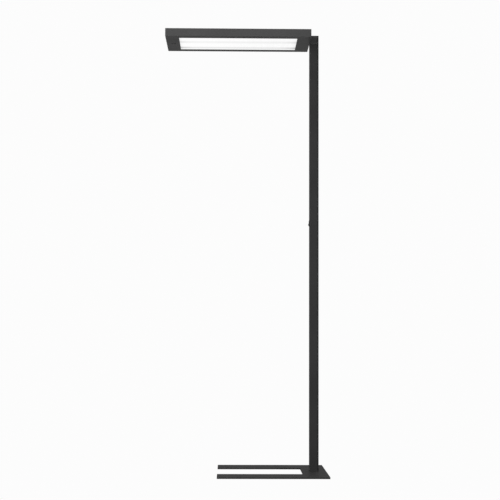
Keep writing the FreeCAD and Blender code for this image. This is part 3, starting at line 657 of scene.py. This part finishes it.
def buildPrismTree():    # four-sided prisms under the panel's face, with two bare strips
    tree, given, out = newGeometryTree("prismField", [
        ("Length", "Float", 0.5), ("Depth", "Float", 0.2), ("Pitch", "Float", 0.004),
        ("Prism Height", "Float", 0.0004), ("Middle", "Vector", (0.0, 0.0, 0.0)),
        ("Bare Line", "Float", 0.057), ("Bare Half Width", "Float", 0.003), ("Material", "Material", None)])
    counts = []
    for side in ("Length", "Depth"):
        ratio = calc(tree, "DIVIDE", given[side], given["Pitch"])
        counts.append(calc(tree, "FLOOR", ratio))
    spans = [calc(tree, "MULTIPLY", calc(tree, "SUBTRACT", count, 1.0), given["Pitch"])
             for count in counts]
    grid = addNode(tree, "GeometryNodeMeshGrid")
    link(tree, spans[0], grid.inputs["Size X"])
    link(tree, spans[1], grid.inputs["Size Y"])
    link(tree, counts[0], grid.inputs["Vertices X"])
    link(tree, counts[1], grid.inputs["Vertices Y"])
    spot = addNode(tree, "GeometryNodeInputPosition")
    parts = addNode(tree, "ShaderNodeSeparateXYZ")
    link(tree, spot.outputs[0], parts.inputs[0])
    away = calc(tree, "ABSOLUTE", calc(tree, "SUBTRACT", calc(tree, "ABSOLUTE", parts.outputs["Y"]),
                                       given["Bare Line"]))
    keep = addNode(tree, "FunctionNodeCompare", data_type="FLOAT", operation="GREATER_THAN")
    link(tree, away, keep.inputs[0])
    link(tree, given["Bare Half Width"], keep.inputs[1])
    prism = addNode(tree, "GeometryNodeMeshCone", fill_type="NGON")
    prism.inputs["Vertices"].default_value = 4
    prism.inputs["Radius Top"].default_value = 0.0
    corner = calc(tree, "MULTIPLY", given["Pitch"], panelLook["prismFill"] / math.sqrt(2))
    link(tree, corner, prism.inputs["Radius Bottom"])
    link(tree, given["Prism Height"], prism.inputs["Depth"])
    turned = addNode(tree, "GeometryNodeTransform")
    link(tree, prism.outputs["Mesh"], turned.inputs["Geometry"])
    turned.inputs["Rotation"].default_value = (math.pi, 0.0, math.pi / 4)
    rows = addNode(tree, "GeometryNodeInstanceOnPoints")
    link(tree, grid.outputs["Mesh"], rows.inputs["Points"])
    link(tree, keep.outputs["Result"], rows.inputs["Selection"])
    link(tree, turned.outputs[0], rows.inputs["Instance"])
    placed = addNode(tree, "GeometryNodeTransform")
    link(tree, rows.outputs[0], placed.inputs["Geometry"])
    link(tree, given["Middle"], placed.inputs["Translation"])
    joined = addNode(tree, "GeometryNodeJoinGeometry")
    link(tree, given["Geometry"], joined.inputs[0])
    link(tree, placed.outputs[0], joined.inputs[0])
    finishTree(tree, joined.outputs[0], given, out)
    return tree


def buildRepeatTree():    # one copy of a finished piece on each point
    tree, given, out = newGeometryTree("piecesOnPoints", [
        ("Piece", "Object", None), ("Turn", "Vector", (0.0, 0.0, 0.0)), ("Material", "Material", None)])
    piece = addNode(tree, "GeometryNodeObjectInfo", transform_space="ORIGINAL")
    link(tree, given["Piece"], piece.inputs["Object"])
    turn = addNode(tree, "FunctionNodeEulerToRotation")
    link(tree, given["Turn"], turn.inputs[0])
    rows = addNode(tree, "GeometryNodeInstanceOnPoints")
    link(tree, given["Geometry"], rows.inputs["Points"])
    link(tree, piece.outputs["Geometry"], rows.inputs["Instance"])
    link(tree, turn.outputs[0], rows.inputs["Rotation"])
    finishTree(tree, rows.outputs[0], given, out)
    return tree


repeatTree = buildRepeatTree()


def repeatPiece(name, mesh, points, turn, slotName, stands):
    sample = bpy.data.objects.new(name + "Sample", mesh)
    scene.collection.objects.link(sample)
    grown = grow(name, pointMesh(points), repeatTree, {
        "Piece": sample, "Turn": turn, "Material": finishes[slotName]})
    bpy.data.objects.remove(sample)
    evenNormals(grown)
    addPiece(name, grown, finishes[slotName], stands=stands)


def cluster(nodeName, reach):    # corners of the box of each solid of a node
    found = []
    for vertex in nodes[nodeName].data.vertices:
        spot = vertex.co
        for group in found:
            if (group[0] - spot).length < reach:
                group.append(spot.copy())
                break
        else:
            found.append([spot.copy()])
    return [(Vector(map(min, *group)), Vector(map(max, *group))) for group in found]


prismTree = buildPrismTree()
panelLow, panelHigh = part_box("lower_panel")
fieldInset = panelLook["fieldInset"] * mm    # the flange above the rim and its gap
sunk = panelLook["sunk"] * mm    # how far the prisms' bases lie inside the panel
panelMesh = grow("prismPanelLit", weldedMesh("lower_panel", "panelPlate"), prismTree, {
    "Length": panelHigh.x - panelLow.x - 2 * fieldInset,
    "Depth": panelHigh.y - panelLow.y - 2 * fieldInset,
    "Pitch": panelLook["prismPitch"] * mm,
    "Prism Height": panelLook["prismHeight"] * mm + sunk,
    "Middle": ((panelLow.x + panelHigh.x) / 2, 0.0, panelLow.z + sunk),
    "Bare Line": panelLook["bareLine"], "Bare Half Width": panelLook["bareHalfWidth"],
    "Material": finishes["prism_panel"]})
addPiece("prismPanelLit", panelMesh, finishes["prism_panel"], stands=("lower_panel",))
print("prism panel ready:", len(panelMesh.polygons), "faces")

lidScrew = {"head": 2.8, "shank": 1.5, "length": 8.0, "key": 1.2, "keyDepth": 1.1, "rim": 0.12}
wallScrew = {"head": 3.9, "shank": 2.0, "length": 10.0, "key": 1.5, "keyDepth": 1.5, "rim": 0.15}
screwDetail = {"sides": 24, "flats": 6, "keyEdge": 0.05, "keyFlare": 1.06, "tip": 0.8}


def circle(radius, level, sides, flats=0):    # flats draw the circle in to a polygon inside it
    spots = []
    for i in range(sides):
        angle = 2 * math.pi * i / sides
        reach = radius
        if flats:
            part = 2 * math.pi / flats
            reach = radius * math.cos(part / 2) / math.cos(angle % part - part / 2)
        spots.append(Vector((reach * math.cos(angle), reach * math.sin(angle), level)))
    return spots


def screwMesh(look):    # from the socket's floor over the head to the tip
    sides, flats = screwDetail["sides"], screwDetail["flats"]
    r = {key: value * mm for key, value in look.items()}
    cone = r["head"] - r["shank"]
    rings = [circle(r["key"], r["keyDepth"], sides, flats),
             circle(r["key"], screwDetail["keyEdge"] * mm, sides, flats),
             circle(r["key"] * screwDetail["keyFlare"], 0.0, sides, flats),
             circle(r["head"] - r["rim"], 0.0, sides),
             circle(r["head"], r["rim"], sides), circle(r["shank"], cone, sides),
             circle(r["shank"], r["length"] - r["rim"] * 2, sides),
             circle(r["shank"] * screwDetail["tip"], r["length"], sides)]
    work = bmesh.new()
    rows = [[work.verts.new(spot) for spot in ring] for ring in rings]
    for here, there in zip(rows, rows[1:]):
        for i in range(sides):
            work.faces.new((here[i - 1], here[i], there[i], there[i - 1]))
    work.faces.new(rows[0])
    work.faces.new(rows[-1])
    bmesh.ops.recalc_face_normals(work, faces=work.faces)
    mesh = bpy.data.meshes.new("screw")
    work.to_mesh(mesh)
    work.free()
    return mesh


lidPoints = [Vector(((low.x + high.x) / 2, (low.y + high.y) / 2, high.z))
             for low, high in cluster("lid_screws", reach=0.02)]
repeatPiece("lidScrewsSocketed", screwMesh(lidScrew), lidPoints, (math.pi, 0.0, 0.0), "black_screw",
            ("lid_screws",))
wallPoints = []
for nodeName in ("foot_block_screws", "spigot_screws"):
    low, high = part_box(nodeName)
    reach = wallScrew["head"] * mm
    wallPoints += [Vector((x, high.y, (low.z + high.z) / 2)) for x in (low.x + reach, high.x - reach)]
repeatPiece("wallScrewsSocketed", screwMesh(wallScrew), wallPoints, (math.pi / 2, 0.0, 0.0),
            "black_screw", ("foot_block_screws", "spigot_screws"))

padLook = {"round": 0.3, "roundSteps": 3, "grooves": (0.45, 0.75), "grooveDepth": 0.25,
           "grooveWidth": 0.5, "sides": 48}
pads = cluster("rubber_pads", reach=0.04)


def padMesh(look):    # a flat pad with a rounded rim and two shallow rings underneath
    low, high = pads[0]
    radius, top = (high.x - low.x) / 2, high.z - low.z
    curve, depth, width = (look[key] * mm for key in ("round", "grooveDepth", "grooveWidth"))
    profile = [(0.0, 0.0)]
    for share in look["grooves"]:
        middle = radius * share
        profile += [(middle - width, 0.0), (middle - width / 2, depth), (middle + width / 2, depth),
                    (middle + width, 0.0)]
    for start, centre in ((-math.pi / 2, curve), (0.0, top - curve)):
        for i in range(look["roundSteps"] + 1):
            angle = start + math.pi / 2 * i / look["roundSteps"]
            profile.append((radius - curve + curve * math.cos(angle),
                            centre + curve * math.sin(angle)))
    return lathe(profile + [(0.0, top)], (0.0, 0.0, 0.0), (0, 0, 1), look["sides"])


repeatPiece("rubberPadsRound", padMesh(padLook),
            [Vector(((low.x + high.x) / 2, (low.y + high.y) / 2, low.z)) for low, high in pads],
            (0.0, 0.0, 0.0), "rubber", ("rubber_pads",))
paint(finishes["rubber"], "centre_pad")
print("repeated pieces ready")

roundSteps = 5    # of the rounded rims of bush and ring
bushLook = {"flange": 9.0, "bore": 3.8, "neck": 6.4, "inner": 7.5, "outerFlange": 2.0,
            "innerFlange": 1.5, "round": 0.9, "mouth": 0.6}
bushLow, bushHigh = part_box("cable_bush")


def bushMesh(look):
    r = {key: value * mm for key, value in look.items()}
    inner, outer = bushLow.y, bushHigh.y
    wall, lining = outer - r["outerFlange"], inner + r["innerFlange"]
    centre = ((bushLow.x + bushHigh.x) / 2, 0.0, (bushLow.z + bushHigh.z) / 2)
    profile = [(r["bore"], inner), (r["inner"], inner), (r["inner"], lining), (r["neck"], lining),
               (r["neck"], wall), (r["flange"], wall)]
    for i in range(roundSteps + 1):
        angle = math.pi / 2 * i / roundSteps
        profile.append((r["flange"] - r["round"] * (1 - math.cos(angle)),
                        outer - r["round"] * (1 - math.sin(angle))))
    profile += [(r["bore"] + r["mouth"], outer), (r["bore"], outer - r["mouth"]), (r["bore"], inner)]
    return lathe(profile, centre, (0, 1, 0))


addPiece("cableBushRounded", bushMesh(bushLook), finishes["rubber"], stands=("cable_bush",))

sensorLook = {"lip": 7.0, "lipDepth": 0.8, "lipRound": 0.25, "ringRound": 0.45, "sleeve": 9.5,
              "bore": 8.2, "ringSides": 72, "dome": 6.8, "flange": 1.2, "wall": 1.0, "ribs": 5,
              "ribHeight": 0.05, "domeSteps": 28, "lensSides": 48}
ringLow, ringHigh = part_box("sensor_bezel")
lensLow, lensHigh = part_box("sensor_lens")
sensorAt = ((ringLow.x + ringHigh.x) / 2, (ringLow.y + ringHigh.y) / 2, 0.0)
lensSeat = ringLow.z + sensorLook["lipDepth"] * mm


def sensorRingMesh(look):
    outer = (ringHigh.x - ringLow.x) / 2
    bottom, top = ringLow.z, ringHigh.z
    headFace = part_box("head_housing")[0].z
    lip, sleeve, bore, small, curve = (
        look[key] * mm for key in ("lip", "sleeve", "bore", "lipRound", "ringRound"))
    profile = [(lip, lensSeat), (lip, bottom + small), (lip + small, bottom)]
    for i in range(roundSteps + 1):
        angle = math.pi / 2 * i / roundSteps
        profile.append((outer - curve * (1 - math.sin(angle)), bottom + curve * (1 - math.cos(angle))))
    profile += [(outer, headFace), (sleeve, headFace), (sleeve, top), (bore, top), (bore, lensSeat),
                (lip, lensSeat)]
    return lathe(profile, sensorAt, (0, 0, 1), look["ringSides"])


def sensorLensMesh(look):    # a shallow ball with ribs, on a flanged skirt
    bottom, top = lensLow.z, lensHigh.z
    dome, flange, wall = (look[key] * mm for key in ("dome", "flange", "wall"))
    wide = (lensHigh.x - lensLow.x) / 2
    drop = lensSeat - bottom
    ball = (dome ** 2 + drop ** 2) / (2 * drop)
    profile = []
    for i in range(look["domeSteps"] + 1):
        share = i / look["domeSteps"]
        radius = dome * share
        height = bottom + ball - math.sqrt(ball ** 2 - radius ** 2)
        rib = look["ribHeight"] * mm * (1 - math.cos(2 * math.pi * look["ribs"] * share)) / 2
        profile.append((radius, height + rib))
    profile += [(dome, lensSeat), (wide, lensSeat), (wide, top), (wide - wall, top),
                (wide - wall, lensSeat + flange), (0.0, lensSeat + flange)]
    return lathe(profile, sensorAt, (0, 0, 1), look["lensSides"])


lensLook = {"dark": (0.018, 0.018, 0.020, 1), "light": grey(0.03), "patchScale": 200.0,
            "roughness": (0.16, 0.24), "coat": 0.4, "coatRoughness": 0.08}


def lensFinish(look):
    material, tree, shader, place = newFinish("tintedLens")
    patches = useGroup(tree, softPatches, Place=place, Scale=look["patchScale"])["Value"]
    feed(tree, shader.inputs["Base Color"], mixColour(tree, patches, look["dark"], look["light"]))
    feed(tree, shader.inputs["Roughness"], mixValue(tree, patches, *look["roughness"]))
    shader.inputs["Coat Weight"].default_value = look["coat"]
    shader.inputs["Coat Roughness"].default_value = look["coatRoughness"]
    return material


finishes["sensor_lens"] = lensFinish(lensLook)
addPiece("sensorRingRounded", sensorRingMesh(sensorLook), finishes["sensor_ring"],
         stands=("sensor_bezel",))
addPiece("sensorLensRibbed", sensorLensMesh(sensorLook), finishes["sensor_lens"],
         stands=("sensor_lens",))

switchLook = {"frameRound": 0.30, "rockerRound": 0.30, "rockerSteps": 3}
dress("switch_housing", "switchFrame", finishes["black_plastic"],
      switchLook["frameRound"] * mm)
dress("rocker", "rockerKey", finishes["rocker_plastic"],
      switchLook["rockerRound"] * mm, switchLook["rockerSteps"], "rocker")
print("switch and sensor ready")

studio = {"white": 0.975, "ambient": 0.16, "floorLight": 0.30, "floorSize": 60.0,
          "floorDrop": 0.2}


# the camera sees an even white, and the pieces get a softer light
def evenWhite(tree, outputKind, lightKind, softer):
    tree.nodes.clear()
    output = addNode(tree, outputKind)
    rays = addNode(tree, "ShaderNodeLightPath")
    either = addNode(tree, "ShaderNodeMixShader")
    link(tree, rays.outputs["Is Camera Ray"], either.inputs[0])
    for socket, value in ((either.inputs[1], softer), (either.inputs[2], studio["white"])):
        light = addNode(tree, lightKind)
        light.inputs["Color"].default_value = grey(value)
        link(tree, light.outputs[0], socket)
    link(tree, either.outputs[0], output.inputs["Surface"])


floorFinish = bpy.data.materials.new("paleFloor")
floorFinish.use_nodes = True
evenWhite(floorFinish.node_tree, "ShaderNodeOutputMaterial", "ShaderNodeEmission",
          studio["floorLight"])
floorMesh = bpy.data.meshes.new("floor")
half = studio["floorSize"] / 2
floorCorners = [(x * half, y * half, -studio["floorDrop"] * mm)
                for x, y in ((-1, -1), (1, -1), (1, 1), (-1, 1))]
floorMesh.from_pydata(floorCorners, [], [(0, 1, 2, 3)])
floorMesh.materials.append(floorFinish)
floor = bpy.data.objects.new("floor", floorMesh)
scene.collection.objects.link(floor)

world = bpy.data.worlds.new("studio")
scene.world = world
world.use_nodes = True
evenWhite(world.node_tree, "ShaderNodeOutputWorld", "ShaderNodeBackground", studio["ambient"])

softBoxes = {
    "frontLeft": {"at": (-3.6, -4.6, 2.1), "aim": (-0.2, 0.0, 1.2), "size": (2.6, 3.2), "power": 240.0},
    "frontRight": {"at": (4.4, -4.8, 1.7), "aim": (0.0, 0.0, 1.1), "size": (2.0, 3.2), "power": 135.0},
    "above": {"at": (0.2, 0.6, 4.6), "aim": (0.0, 0.0, 0.0), "size": (3.0, 3.0), "power": 100.0},
    "behind": {"at": (4.6, 3.6, 1.8), "aim": (0.0, 0.0, 1.0), "size": (2.0, 2.4), "power": 30.0},
}
for name, box in softBoxes.items():
    lamp = bpy.data.lights.new(name, "AREA")
    lamp.shape = "RECTANGLE"
    lamp.size, lamp.size_y = box["size"]
    lamp.energy = box["power"]
    holder = bpy.data.objects.new(name, lamp)
    scene.collection.objects.link(holder)
    holder.location = box["at"]
    toward = Vector(box["aim"]) - Vector(box["at"])
    holder.rotation_mode = "QUATERNION"
    holder.rotation_quaternion = toward.to_track_quat("-Z", "Y")
    holder.visible_camera = False

cameraLook = {"at": (-0.3737, -5.6389, 0.6139), "yaw": 0.0157, "pitch": 0.0657, "roll": 0.0035,
              "lens": 91.18, "sensor": 36.0, "farthest": 200.0}


def addCamera(look):
    data = bpy.data.cameras.new("photoView")
    data.lens = look["lens"]
    data.sensor_width = look["sensor"]
    data.clip_end = look["farthest"]
    camera = bpy.data.objects.new("photoView", data)
    scene.collection.objects.link(camera)
    yaw, pitch, roll = look["yaw"], look["pitch"], look["roll"]
    ahead = Vector((math.sin(yaw) * math.cos(pitch), math.cos(yaw) * math.cos(pitch), math.sin(pitch)))
    right = Vector((math.cos(yaw), -math.sin(yaw), 0.0))
    up = right.cross(ahead)
    turnedRight = right * math.cos(roll) + up * math.sin(roll)
    turnedUp = up * math.cos(roll) - right * math.sin(roll)
    axes = Matrix((turnedRight, turnedUp, -ahead)).transposed().to_4x4()
    camera.matrix_world = Matrix.Translation(look["at"]) @ axes
    scene.camera = camera


addCamera(cameraLook)
scene.view_settings.view_transform = "Standard"
print("studio ready")
